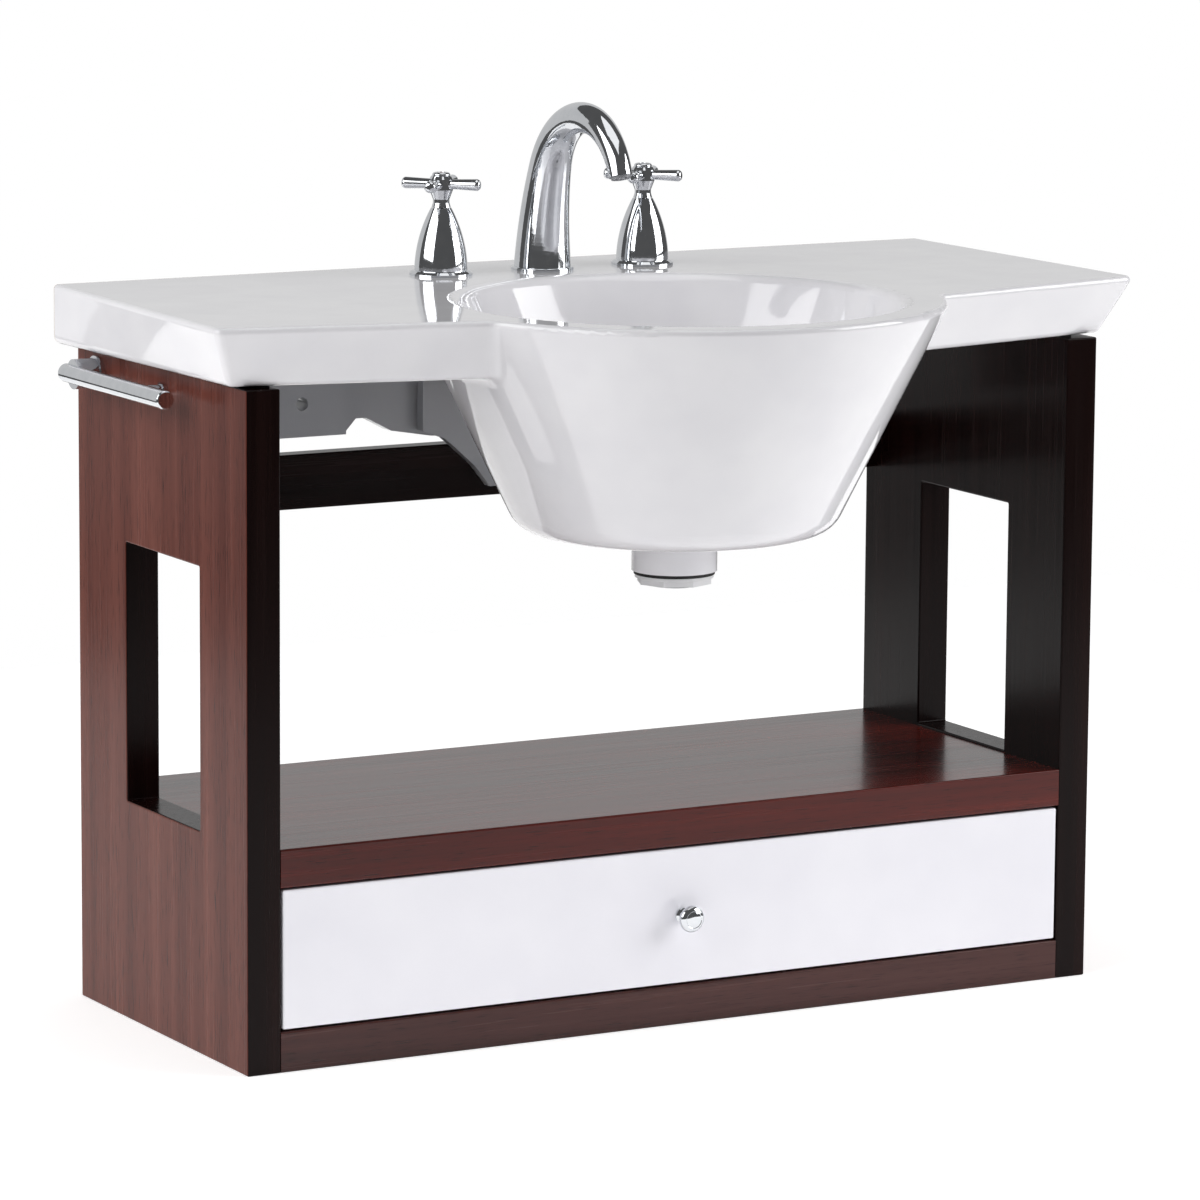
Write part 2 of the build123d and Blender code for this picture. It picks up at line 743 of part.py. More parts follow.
with BuildPart() as deck_washers:
    with BuildSketch(Plane.XY.offset(deck_under_z - 2)):
        with Locations(*deck_fixing_places):
            Circle(24)
            Circle(shank_radius, mode=Mode.SUBTRACT)
    extrude(amount=2)
finish(deck_washers, "deck_washers")

with BuildPart() as deck_nuts:
    with BuildSketch(Plane.XY.offset(deck_under_z - 12)):
        with Locations(*deck_fixing_places):
            RegularPolygon(20.5, 6)
            Circle(shank_radius, mode=Mode.SUBTRACT)
    extrude(amount=10)
finish(deck_nuts, "deck_nuts")

cartridge_foot_z = deck_z + 15
cartridge_top_z = deck_z + 49
stem_foot_z = deck_z + 30
hub_foot_z = deck_z + bell_height + 0.6
hub_top_z = deck_z + arm_height + 7
stem_top_z = hub_top_z - 3
arm_root_radius = 4.0
arm_end_radius = 5.2
arm_end_round = 3.5


def upright(x):
    """Upright plane through a valve's axis, reading outwards across and up."""
    return Plane(origin=(x, mixer_y, 0), x_dir=(1, 0, 0), z_dir=(0, -1, 0))


def valve_axis(x):
    """Upright axis through a valve."""
    return Axis((x, mixer_y, 0), (0, 0, 1))


def bell(x):
    """Hollow bell that covers the valve, with a thin foot flange."""
    with BuildPart() as cover:
        with BuildSketch(upright(x)):
            with BuildLine():
                Polyline(
                    (0, deck_z + bell_height),
                    (0, deck_z),
                    (bell_flange_radius, deck_z),
                    (bell_flange_radius, deck_z + 2),
                    (bell_radius + 2, deck_z + 4),
                    (bell_radius, deck_z + 4.5),
                )
                ThreePointArc(
                    (bell_radius, deck_z + 4.5),
                    (bell_radius - 3.6, deck_z + 31),
                    (neck_radius + 0.5, deck_z + bell_height),
                )
                Line((neck_radius + 0.5, deck_z + bell_height), (0, deck_z + bell_height))
            make_face()
        revolve(axis=valve_axis(x))
        with BuildSketch(upright(x)):
            with BuildLine():
                Polyline(
                    (0, deck_z),
                    (bell_radius - 2.5, deck_z),
                    (bell_radius - 2.5, deck_z + 6),
                    (bell_radius - 6.5, deck_z + 31),
                    (9.8, deck_z + 48),
                    (6.5, deck_z + 54),
                    (6.5, deck_z + bell_height),
                    (0, deck_z + bell_height),
                    close=True,
                )
            make_face()
        revolve(axis=valve_axis(x), mode=Mode.SUBTRACT)
    return cover


def cross_handle(x):
    """Turned hub on the stem with four tapered arms."""
    end_middle = (arm_reach - arm_end_round, arm_end_radius - arm_end_round)
    with BuildPart() as handle:
        with BuildSketch(upright(x)):
            with BuildLine():
                Polyline(
                    (stem_radius, hub_top_z),
                    (stem_radius, hub_foot_z),
                    (neck_radius, hub_foot_z),
                    (neck_radius - 1.2, hub_foot_z + 4),
                    (neck_radius - 1.2, hub_foot_z + 7),
                    (10.5, deck_z + arm_height - 5),
                    (10.5, deck_z + arm_height + 4.5),
                    (9, hub_top_z),
                    close=True,
                )
            make_face()
        revolve(axis=valve_axis(x))
        for turn in (45, 135):
            outward = (math.cos(math.radians(turn)), math.sin(math.radians(turn)), 0)
            middle = (x, mixer_y, deck_z + arm_height)
            arm_plane = Plane(origin=middle, x_dir=outward, z_dir=(-outward[1], outward[0], 0))
            with BuildSketch(arm_plane):
                with BuildLine():
                    Polyline(
                        (arm_reach, arm_end_radius - arm_end_round),
                        (arm_reach, 0),
                        (0, 0),
                        (0, arm_root_radius),
                        (arm_reach - arm_end_round, arm_end_radius),
                    )
                    CenterArc(end_middle, arm_end_round, 0, 90)
                make_face()
                mirror(about=Plane.YZ)
            revolve(axis=Axis(middle, outward))
        with BuildSketch(Plane.XY.offset(hub_foot_z)):
            with Locations((x, mixer_y)):
                Circle(stem_radius)
        extrude(amount=hub_top_z - hub_foot_z, mode=Mode.SUBTRACT)
    return handle


def round_piece(x, radius, low_z, high_z, hole_radius=0, hole_low_z=0, hole_high_z=0):
    """Turned piece on a valve's axis, with an optional hole."""
    with BuildPart() as turned:
        with BuildSketch(Plane.XY.offset(low_z)):
            with Locations((x, mixer_y)):
                Circle(radius)
        extrude(amount=high_z - low_z)
        if hole_radius:
            with BuildSketch(Plane.XY.offset(hole_low_z)):
                with Locations((x, mixer_y)):
                    Circle(hole_radius)
            extrude(amount=hole_high_z - hole_low_z, mode=Mode.SUBTRACT)
    return turned


def index_cap(x):
    """Small domed cap on top of a handle."""
    with BuildPart() as cap:
        with BuildSketch(Plane.XY.offset(hub_top_z)):
            with Locations((x, mixer_y)):
                Circle(8)
        extrude(amount=3.5)
        fillet(cap.edges().group_by(Axis.Z)[-1], 2)
    return cap


for side, name in ((-1, "hot"), (1, "cold")):
    valve_x = side * handle_x
    bore_radius = stem_radius + running_clearance
    finish(shank(valve_x, cartridge_foot_z, shank_bottom_z - inlet_length, (-side,)), f"{name}_valve_body")
    stem_bore = (bore_radius, stem_foot_z - 1, cartridge_top_z)
    cartridge = round_piece(valve_x, 8, cartridge_foot_z, cartridge_top_z, *stem_bore)
    finish(cartridge, f"{name}_cartridge")
    stem = round_piece(valve_x, stem_radius, stem_foot_z, stem_top_z, 2, stem_top_z - 14, stem_top_z)
    finish(stem, f"{name}_stem")
    finish(bell(valve_x), f"{name}_bell")
    finish(cross_handle(valve_x), f"{name}_handle")
    finish(index_cap(valve_x), f"{name}_index_cap")
    finish(round_piece(valve_x, 2, stem_top_z - 13, stem_top_z + 2), f"{name}_handle_screw")


# Waste: flanged body through the boss, with a stopper in its guide, a gasket and a back nut
with BuildPart() as overflow_ring:
    with BuildSketch(overflow_plane.offset(-12)):
        Circle(overflow_radius - 0.1)
        Circle(8, mode=Mode.SUBTRACT)
    extrude(amount=13)
    with BuildSketch(overflow_plane.offset(0.7)):
        Circle(14)
        Circle(8, mode=Mode.SUBTRACT)
    extrude(amount=1.8)
    fillet(overflow_ring.edges().filter_by(lambda e: e.length > 80).sort_by(Axis.Z)[-1], 1)
finish(overflow_ring, "overflow_ring")

stopper_stem_radius = 4.0
nut_top_z = boss_bottom_z - gasket_thickness
with BuildPart() as drain_body:
    with BuildSketch(Plane.XY.offset(basin_floor_z - flange_thickness)):
        with Locations((0, drain_y)):
            Circle(flange_radius)
    extrude(amount=flange_thickness)
    fillet(drain_body.edges().group_by(Axis.Z)[-1], 1.5)
    with BuildSketch(Plane.XY.offset(waste_bottom_z)):
        with Locations((0, drain_y)):
            Circle(waste_radius)
    extrude(amount=basin_floor_z - flange_thickness - waste_bottom_z)
    with BuildSketch(Plane.XY.offset(waste_bottom_z)):
        with Locations((0, drain_y)):
            Circle(waste_bore)
    extrude(amount=guide_low_z - waste_bottom_z, mode=Mode.SUBTRACT)
    with BuildSketch(Plane.XY.offset(guide_low_z)):
        with Locations((0, drain_y)):
            Circle(waste_throat)
    extrude(amount=basin_floor_z - guide_low_z, mode=Mode.SUBTRACT)
    with BuildSketch(facing_front(drain_y + waste_radius + 1)):
        with Locations((0, channel_low_z)):
            Circle(4)
    extrude(amount=6, mode=Mode.SUBTRACT)
finish(drain_body, "drain_body")

# the guide drops onto the ledge in the waste body
with BuildPart() as stopper_guide:
    with BuildSketch(Plane.XY.offset(guide_low_z)):
        with Locations((0, drain_y)):
            Circle(waste_throat - running_clearance)
            Circle(waste_throat - 2, mode=Mode.SUBTRACT)
            Circle(stopper_stem_radius + 3)
        for turn in (90, 210, 330):
            with Locations(Location((0, drain_y, 0), (0, 0, turn))):
                Rectangle(waste_throat - 1, 3, align=(Align.MIN, Align.CENTER))
        with Locations((0, drain_y)):
            Circle(stopper_stem_radius + running_clearance, mode=Mode.SUBTRACT)
    extrude(amount=guide_height)
finish(stopper_guide, "stopper_guide")

with BuildPart() as drain_stopper:
    with BuildSketch(Plane.XY.offset(basin_floor_z + 0.3)):
        with Locations((0, drain_y)):
            Circle(stopper_radius)
    extrude(amount=4.5)
    fillet(drain_stopper.edges().group_by(Axis.Z)[-1], 3)
    with BuildSketch(Plane.XY.offset(guide_low_z)):
        with Locations((0, drain_y)):
            Circle(stopper_stem_radius)
    extrude(amount=basin_floor_z + 0.5 - guide_low_z)
finish(drain_stopper, "drain_stopper")

with BuildPart() as drain_gasket:
    with BuildSketch(Plane.XY.offset(nut_top_z)):
        with Locations((0, drain_y)):
            Circle(boss_radius - 2)
            Circle(waste_radius, mode=Mode.SUBTRACT)
    extrude(amount=gasket_thickness)
finish(drain_gasket, "drain_gasket")

with BuildPart() as drain_nut:
    with BuildSketch(Plane.XY.offset(nut_top_z)):
        with Locations((0, drain_y)):
            Circle(boss_radius - 3)
    extrude(amount=-nut_collar)
    with BuildSketch(Plane.XY.offset(nut_top_z - nut_collar)):
        with Locations((0, drain_y)):
            RegularPolygon(boss_radius - 4, 8)
    extrude(amount=nut_collar - nut_height)
    with BuildSketch(Plane.XY.offset(nut_top_z)):
        with Locations((0, drain_y)):
            Circle(waste_radius)
    extrude(amount=-nut_height, mode=Mode.SUBTRACT)
finish(drain_nut, "drain_nut")


# Towel bar on the left side board
with BuildPart() as towel_bar:
    with BuildSketch(facing_front(bar_rear_y)):
        with Locations((bar_x, bar_z)):
            Circle(bar_radius)
    extrude(amount=bar_rear_y - bar_front_y)
    fillet(towel_bar.edges().filter_by(GeomType.CIRCLE), 1.5)
finish(towel_bar, "towel_bar")

with BuildPart() as towel_bar_posts:
    for post_y, post_radius, flange_radius in bar_post_places:
        with BuildSketch(facing_right(-frame_half)):
            with Locations((post_y, bar_z)):
                Circle(flange_radius)
        extrude(amount=-4)
        with BuildSketch(facing_right(-frame_half)):
            with Locations((post_y, bar_z)):
                Circle(post_radius)
        extrude(amount=bar_x + frame_half)
        with BuildSketch(facing_right(-frame_half)):
            with Locations((post_y, bar_z)):
                Circle(2.5)
        extrude(amount=-10, mode=Mode.SUBTRACT)
    with BuildSketch(facing_front(bar_rear_y)):
        with Locations((bar_x, bar_z)):
            Circle(bar_radius)
    extrude(amount=bar_rear_y - bar_front_y, mode=Mode.SUBTRACT)
finish(towel_bar_posts, "towel_bar_posts")

with BuildPart() as towel_bar_screws:
    with BuildSketch(facing_right(-frame_half - 10)):
        with Locations(*[(post_y, bar_z) for post_y, _, _ in bar_post_places]):
            Circle(2.5)
    extrude(amount=29)
finish(towel_bar_screws, "towel_bar_screws")
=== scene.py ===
import json
import math

import bpy
from mathutils import Matrix, Vector


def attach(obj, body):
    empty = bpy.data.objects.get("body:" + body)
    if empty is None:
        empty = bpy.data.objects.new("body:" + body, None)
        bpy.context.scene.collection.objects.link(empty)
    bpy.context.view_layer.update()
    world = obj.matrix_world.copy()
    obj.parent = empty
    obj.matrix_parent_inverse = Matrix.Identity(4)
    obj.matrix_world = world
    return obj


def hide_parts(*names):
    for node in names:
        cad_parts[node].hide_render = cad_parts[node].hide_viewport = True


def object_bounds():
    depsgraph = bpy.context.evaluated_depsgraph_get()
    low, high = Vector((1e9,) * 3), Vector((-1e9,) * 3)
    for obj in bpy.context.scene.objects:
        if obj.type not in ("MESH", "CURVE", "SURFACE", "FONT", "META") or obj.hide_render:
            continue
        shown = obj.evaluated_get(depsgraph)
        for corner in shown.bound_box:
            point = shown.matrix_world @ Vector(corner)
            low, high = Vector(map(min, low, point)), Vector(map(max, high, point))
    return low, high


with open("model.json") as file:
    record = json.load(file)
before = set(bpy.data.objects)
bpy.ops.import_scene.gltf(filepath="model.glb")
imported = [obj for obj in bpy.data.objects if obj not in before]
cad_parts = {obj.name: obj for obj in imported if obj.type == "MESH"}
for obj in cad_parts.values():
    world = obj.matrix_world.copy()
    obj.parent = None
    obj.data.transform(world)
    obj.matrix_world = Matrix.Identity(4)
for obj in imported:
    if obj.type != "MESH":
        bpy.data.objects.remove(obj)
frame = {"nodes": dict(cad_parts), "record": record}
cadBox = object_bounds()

nodes = frame["nodes"]
bpy.ops.object.select_all(action="DESELECT")
print("frame loaded:", len(nodes), "CAD nodes")


def linearColour(hexText):
    # sRGB hex to the linear values that the shader sockets hold
    channels = []
    for start in (1, 3, 5):
        value = int(hexText[start:start + 2], 16) / 255
        channels.append(value / 12.92 if value <= 0.04045 else ((value + 0.055) / 1.055) ** 2.4)
    return (*channels, 1.0)


def addNode(tree, kind, settings=None, links=None):
    # a key is an input's name or number, or else one of the node's own properties
    node = tree.nodes.new(kind)
    for key, value in (settings or {}).items():
        if isinstance(key, int) or key in node.inputs:
            node.inputs[key].default_value = value
        else:
            setattr(node, key, value)
    for key, source in (links or {}).items():
        tree.links.new(source, node.inputs[key])
    return node


def newMaterial(name, settings):
    # a material with one Principled shader, and the Object coordinates that its patterns read
    material = bpy.data.materials.new(name)
    material.use_nodes = True
    tree = material.node_tree
    tree.nodes.clear()
    shader = addNode(tree, "ShaderNodeBsdfPrincipled", settings)
    addNode(tree, "ShaderNodeOutputMaterial", None, {"Surface": shader.outputs["BSDF"]})
    coords = addNode(tree, "ShaderNodeTexCoord").outputs["Object"]
    return material, tree, shader, coords


def scaled(tree, coords, sizes):
    # the coordinates divided by a real size in millimetres along each axis
    scale = tuple(1000 / size for size in sizes)
    return addNode(tree, "ShaderNodeMapping", {"Scale": scale}, {"Vector": coords}).outputs["Vector"]


def noise(tree, vector, detail=2.0, roughness=0.5):
    settings = {"Scale": 1.0, "Detail": detail, "Roughness": roughness}
    return addNode(tree, "ShaderNodeTexNoise", settings, {"Vector": vector}).outputs["Fac"]


def evenNoise(tree, coords, size, detail=2.0, roughness=0.5):
    # noise of one size in millimetres along all three axes
    return noise(tree, scaled(tree, coords, (size, size, size)), detail, roughness)


# noise seldom leaves this span
noiseLow, noiseHigh = 0.3, 0.7


def remap(tree, value, low, high, fromLow=noiseLow, fromHigh=noiseHigh):
    settings = {"From Min": fromLow, "From Max": fromHigh, "To Min": low, "To Max": high}
    return addNode(tree, "ShaderNodeMapRange", settings, {"Value": value}).outputs["Result"]


def colourRamp(tree, value, stops):
    node = addNode(tree, "ShaderNodeValToRGB", None, {"Fac": value})
    ramp = node.color_ramp
    while len(ramp.elements) < len(stops):
        ramp.elements.new(0.5)
    for element, (place, hexText) in zip(ramp.elements, stops):
        element.position = place
        element.color = linearColour(hexText)
    return node.outputs["Color"]


def twoTone(tree, value, tones):
    # from the dark tone to the light one over the span that noise covers
    return colourRamp(tree, value, list(zip((noiseLow, noiseHigh), tones)))


def mixColour(tree, factor, first, second):
    # inputs 0, 6 and 7 of the Mix node are the factor and its two colours
    node = addNode(tree, "ShaderNodeMix", {"data_type": "RGBA"})
    for number, source in ((0, factor), (6, first), (7, second)):
        if isinstance(source, bpy.types.NodeSocket):
            tree.links.new(source, node.inputs[number])
        else:
            node.inputs[number].default_value = linearColour(source)
    return node.outputs[2]


def bump(tree, shader, height, millimetres, strength=1.0):
    settings = {"Distance": millimetres / 1000, "Strength": strength}
    node = addNode(tree, "ShaderNodeBump", settings, {"Height": height})
    tree.links.new(node.outputs["Normal"], shader.inputs["Normal"])


# sizes in millimetres; skin is how deep under an outer face the face tone gives way to the body tone,
# painted shade on the side boards; each detail is a noise's number of octaves and how strong the finer
# ones are
stain = {
    "bandWidth": 26, "bandLength": 780, "grainWidth": 5, "grainLength": 260,
    "poreWidth": 0.9, "poreLength": 26, "poreDepth": 0.05, "poreRelief": 0.25,
    "poreColour": "#120404", "poreStrength": 0.7, "poreFrom": 0.6, "poreTo": 0.72,
    "bandDetail": (1.0, 0.5), "streakDetail": (3.0, 0.6), "poreDetail": (1.0, 0.5),
    "streakShare": 0.55, "bandShare": 0.45, "toneStops": (0.15, 0.5, 0.85), "skin": 0.6,
    "roughness": (0.21, 0.29), "coatRoughness": 0.12, "coatIndex": 1.35,
}
# dark, middle and light tones of one mahogany stain, set as lit and shaded copies per surface:
# inside is near-black painted shade for the side boards' edges and inner faces and the back rail;
# shelf and base are darker, redder copies toned for how those boards are lit
stainTones = {
    "veneer": ("#4E261F", "#60332A", "#704036"),
    "inside": ("#0A0202", "#130605", "#1D0B09"),
    "shelf": ("#370C06", "#4E120B", "#611B11"),
    "base": ("#2C1412", "#3F1F1C", "#52302C"),
}


def makeStainedWood(name, grainAxis, body, film, face=None, faceAt=0.0):
    # mahogany stained red-brown under rubbed satin lacquer: dark open pores, a faint ribbon
    # stripe along the grain and a clear film that reflects softly; body is the tone all over and
    # face is the tone of the outer faces, faceAt millimetres to each side of the middle; a body of
    # inside is near-black painted shade on the edges and inner faces
    material, tree, shader, coords = newMaterial(name, {
        "IOR": film["index"], "Coat Weight": film["coat"],
        "Coat Roughness": stain["coatRoughness"], "Coat IOR": stain["coatIndex"],
    })
    along = "XYZ".index(grainAxis)

    def grainCoords(width, length):
        sizes = [width, width, width]
        sizes[along] = length
        return scaled(tree, coords, sizes)

    ribbon = noise(tree, grainCoords(stain["bandWidth"], stain["bandLength"]), *stain["bandDetail"])
    streaks = noise(tree, grainCoords(stain["grainWidth"], stain["grainLength"]),
                    *stain["streakDetail"])
    pores = noise(tree, grainCoords(stain["poreWidth"], stain["poreLength"]), *stain["poreDetail"])
    bands = remap(tree, ribbon, 0.0, stain["bandShare"])
    mixed = addNode(tree, "ShaderNodeMath", {"operation": "MULTIPLY_ADD", 1: stain["streakShare"]},
                    {0: streaks, 2: bands}).outputs[0]

    def toned(tone):
        return colourRamp(tree, mixed, list(zip(stain["toneStops"], stainTones[tone])))

    colour = toned(body)
    # painted shade: only the outer faces get the face tone, and the edges and inner faces keep the body
    # tone
    if face:
        place = addNode(tree, "ShaderNodeSeparateXYZ", None, {"Vector": coords}).outputs["X"]
        outward = addNode(tree, "ShaderNodeMath", {"operation": "ABSOLUTE"}, {0: place}).outputs[0]
        faceBlendStart = (faceAt - stain["skin"]) / 1000
        faceBlendEnd = (faceAt - stain["skin"] / 2) / 1000
        onFace = remap(tree, outward, 0.0, 1.0, faceBlendStart, faceBlendEnd)
        colour = mixColour(tree, onFace, colour, toned(face))
    poreMask = remap(tree, pores, 0.0, stain["poreStrength"], stain["poreFrom"], stain["poreTo"])
    colour = mixColour(tree, poreMask, colour, stain["poreColour"])
    tree.links.new(colour, shader.inputs["Base Color"])
    tree.links.new(remap(tree, streaks, *stain["roughness"]), shader.inputs["Roughness"])
    bump(tree, shader, pores, stain["poreDepth"], stain["poreRelief"])
    return material


lacquer = {
    "mottleSize": 90, "tones": ("#EFEEF5", "#F5F4FA"), "roughness": (0.1, 0.16),
    "peelSize": 3, "peelDetail": (1.0, 0.5), "peelDepth": 0.02, "peelRelief": 0.2,
    "index": 1.5, "coat": 0.5, "coatRoughness": 0.05,
}


def makeWhiteLacquer():
    # board sprayed with white gloss lacquer: a hard bright film with faint orange peel
    material, tree, shader, coords = newMaterial("glossWhiteLacquer", {
        "IOR": lacquer["index"], "Coat Weight": lacquer["coat"],
        "Coat Roughness": lacquer["coatRoughness"],
    })
    mottle = evenNoise(tree, coords, lacquer["mottleSize"])
    peel = evenNoise(tree, coords, lacquer["peelSize"], *lacquer["peelDetail"])
    tree.links.new(twoTone(tree, mottle, lacquer["tones"]), shader.inputs["Base Color"])
    tree.links.new(remap(tree, mottle, *lacquer["roughness"]), shader.inputs["Roughness"])
    bump(tree, shader, peel, lacquer["peelDepth"], lacquer["peelRelief"])
    return material


# sizes and places in millimetres; the skirt and lugs are painted grey as painted shade for the slab's
# shadow they lie in, where they are both behind skirtFromY and below skirtBelowZ
china = {
    "waveSize": 60, "waveDepth": 0.3, "waveRelief": 0.15, "glaze": ("#E9E8EC", "#EFEEF1"),
    "pitSize": 2.5, "bisque": ("#CFC6B6", "#DDD6C8"), "bareDepth": 1.2, "bareRoughness": 0.7,
    "skirtFromY": 238.5, "skirtBelowZ": 579.5, "skirtBlend": 1.0, "paintedSkirtShade": "#A2A4A8",
    "roughness": (0.06, 0.09), "index": 1.52, "coat": 0.3, "coatRoughness": 0.03,
}


def makeGlazedCeramic():
    # vitreous china: opaque white glaze fired over a cream body, slightly wavy as cast ware is,
    # and bare bisque on the rear face, which was wiped clean; the skirt and lugs under the slab are
    # greyed as painted shade
    material, tree, shader, coords = newMaterial("vitreousChina", {
        "IOR": china["index"], "Coat Weight": china["coat"], "Coat Roughness": china["coatRoughness"],
    })
    wave = evenNoise(tree, coords, china["waveSize"])
    pits = evenNoise(tree, coords, china["pitSize"])
    glaze = twoTone(tree, wave, china["glaze"])
    bareBody = twoTone(tree, pits, china["bisque"])
    split = addNode(tree, "ShaderNodeSeparateXYZ", None, {"Vector": coords}).outputs
    place, height = split["Y"], split["Z"]

    def risingTo(value, edge, blend, low=0.0, high=1.0):
        # low until blend millimetres before the edge, and high from the edge on
        return remap(tree, value, low, high, (edge - blend) / 1000, edge / 1000)

    bareEdge = 1000 * cadBox[1].y - china["bareDepth"] / 2
    bare = risingTo(place, bareEdge, china["bareDepth"] / 2)
    # painted shade: grey over the glaze on the skirt and lugs behind and below these edges, where the
    # slab shades them
    behind = risingTo(place, china["skirtFromY"], china["skirtBlend"])
    below = risingTo(height, china["skirtBelowZ"], china["skirtBlend"], 1.0, 0.0)
    skirtShadeMask = addNode(tree, "ShaderNodeMath", {"operation": "MULTIPLY"},
                      {0: behind, 1: below}).outputs[0]
    glazeWithShade = mixColour(tree, skirtShadeMask, glaze, china["paintedSkirtShade"])
    tree.links.new(mixColour(tree, bare, glazeWithShade, bareBody), shader.inputs["Base Color"])
    rough = addNode(tree, "ShaderNodeMath", {"operation": "MULTIPLY_ADD", 1: china["bareRoughness"]},
                    {0: bare, 2: remap(tree, wave, *china["roughness"])}).outputs[0]
    tree.links.new(rough, shader.inputs["Roughness"])
    bump(tree, shader, wave, china["waveDepth"], china["waveRelief"])
    return material


plating = {
    "hazeSize": 14, "hazeDetail": (4.0, 0.6), "tones": ("#D3D6DA", "#DEE0E3"), "roughness": (0.03, 0.08),
}


def makePolishedChrome():
    # brass cast, buffed and chromium plated: a cool mirror with the faint haze of wiping
    material, tree, shader, coords = newMaterial("polishedChromium", {"Metallic": 1.0})
    haze = evenNoise(tree, coords, plating["hazeSize"], *plating["hazeDetail"])
    tree.links.new(twoTone(tree, haze, plating["tones"]), shader.inputs["Base Color"])
    tree.links.new(remap(tree, haze, *plating["roughness"]), shader.inputs["Roughness"])
    return material


metal = {
    "patchSize": 9, "patchDetail": (3.0, 0.5), "markDetail": (1.0, 0.5), "markDepth": 0.03,
    "markRelief": 0.3,
}


def makePlainMetal(name, tones, markSizes, roughness):
    # turned or rolled metal left as machined: fine tool marks and uneven dull patches
    material, tree, shader, coords = newMaterial(name, {"Metallic": 1.0})
    patches = evenNoise(tree, coords, metal["patchSize"], *metal["patchDetail"])
    marks = noise(tree, scaled(tree, coords, markSizes), *metal["markDetail"])
    tree.links.new(twoTone(tree, patches, tones), shader.inputs["Base Color"])
    tree.links.new(remap(tree, patches, *roughness), shader.inputs["Roughness"])
    bump(tree, shader, marks, metal["markDepth"], metal["markRelief"])
    return material


moulding = {
    "toneSize": 25, "grainSize": 0.8, "grainDepth": 0.04, "grainRelief": 0.3, "index": 1.49,
    "smoother": 0.05, "rougher": 0.06,
}


def makeMoulded(name, tones, roughness, grain=moulding["grainSize"]):
    # injection moulded or pressed: an even skin with a fine spark-eroded grain
    material, tree, shader, coords = newMaterial(name, {"IOR": moulding["index"]})
    tone = evenNoise(tree, coords, moulding["toneSize"])
    skin = evenNoise(tree, coords, grain)
    tree.links.new(twoTone(tree, tone, tones), shader.inputs["Base Color"])
    smoothest, roughest = roughness - moulding["smoother"], roughness + moulding["rougher"]
    tree.links.new(remap(tree, skin, smoothest, roughest), shader.inputs["Roughness"])
    bump(tree, shader, skin, moulding["grainDepth"], moulding["grainRelief"])
    return material


timber = {
    "ringWidth": 3, "ringLength": 120, "ringDepth": 0.05, "ringRelief": 0.3, "index": 1.5,
    "fleckWidth": 0.7, "fleckLength": 4, "fleckStrength": 0.35, "fleckFrom": 0.58, "fleckTo": 0.7,
    "ringDetail": (3.0, 0.55), "fleckDetail": (1.0, 0.5), "roughnessSpread": 0.05,
}


def makePaleWood(name, tones, grainAxis, roughness):
    # light close-grained timber with short flecks along the grain
    material, tree, shader, coords = newMaterial(name, {"IOR": timber["index"]})
    along = "XYZ".index(grainAxis)
    ringSizes = [timber["ringWidth"]] * 3
    ringSizes[along] = timber["ringLength"]
    fleckSizes = [timber["fleckWidth"]] * 3
    fleckSizes[along] = timber["fleckLength"]
    rings = noise(tree, scaled(tree, coords, ringSizes), *timber["ringDetail"])
    flecks = noise(tree, scaled(tree, coords, fleckSizes), *timber["fleckDetail"])
    fleckMask = remap(tree, flecks, 0.0, timber["fleckStrength"], timber["fleckFrom"],
                      timber["fleckTo"])
    colour = mixColour(tree, fleckMask, twoTone(tree, rings, tones), tones[0])
    tree.links.new(colour, shader.inputs["Base Color"])
    smoothest, roughest = roughness - timber["roughnessSpread"], roughness + timber["roughnessSpread"]
    tree.links.new(remap(tree, rings, smoothest, roughest), shader.inputs["Roughness"])
    bump(tree, shader, rings, timber["ringDepth"], timber["ringRelief"])
    return material


# how thick the clear film is left: its refractive index and the weight of its coat
rubbedFilm = {"index": 1.2, "coat": 0.05}
fullFilm = {"index": 1.32, "coat": 0.3}
# the inside tone is painted shade: near black on the side boards' edges and inner faces and all over the
# back rail; shelf and base are lit and shaded copies of the stain
sideOuterX = 417
sideWood = makeStainedWood("mahoganySideBoard", "Z", "inside", rubbedFilm, "veneer", sideOuterX)
shelfWood = makeStainedWood("mahoganyShelf", "X", "shelf", fullFilm)
baseWood = makeStainedWood("mahoganyBase", "X", "base", fullFilm)
railWood = makeStainedWood("mahoganyRail", "X", "inside", rubbedFilm)
whiteLacquer = makeWhiteLacquer()
vitreousChina = makeGlazedCeramic()
chrome = makePolishedChrome()
brass = makePlainMetal("machinedBrass", ("#B08D46", "#CBA65A"), (0.4, 0.4, 0.4), (0.24, 0.36))
platedSteel = makePlainMetal("zincPlatedSteel", ("#A6A9AB", "#BEC2C6"), (0.5, 6, 0.5), (0.3, 0.42))
birchBoard = makePaleWood("birchBoard", ("#B39468", "#CDB084"), "Y", 0.45)
beech = makePaleWood("rawBeech", ("#B88F63", "#CFA87A"), "X", 0.7)
blackRubber = makeMoulded("blackRubber", ("#121212", "#1C1C1C"), 0.7)
wastePlastic = makeMoulded("whitePolypropylene", ("#D8D8DA", "#E2E2E4"), 0.4)
aeratorPlastic = makeMoulded("greyAcetal", ("#8A8C8F", "#97999C"), 0.35, 0.5)
cartridgePlastic = makeMoulded("whiteAcetal", ("#DAD9D4", "#E6E5E0"), 0.35)
enamelRed = makeMoulded("redEnamel", ("#A02A24", "#B03029"), 0.18)
enamelBlue = makeMoulded("blueEnamel", ("#2A4A8E", "#31549C"), 0.18)
print("materials made")

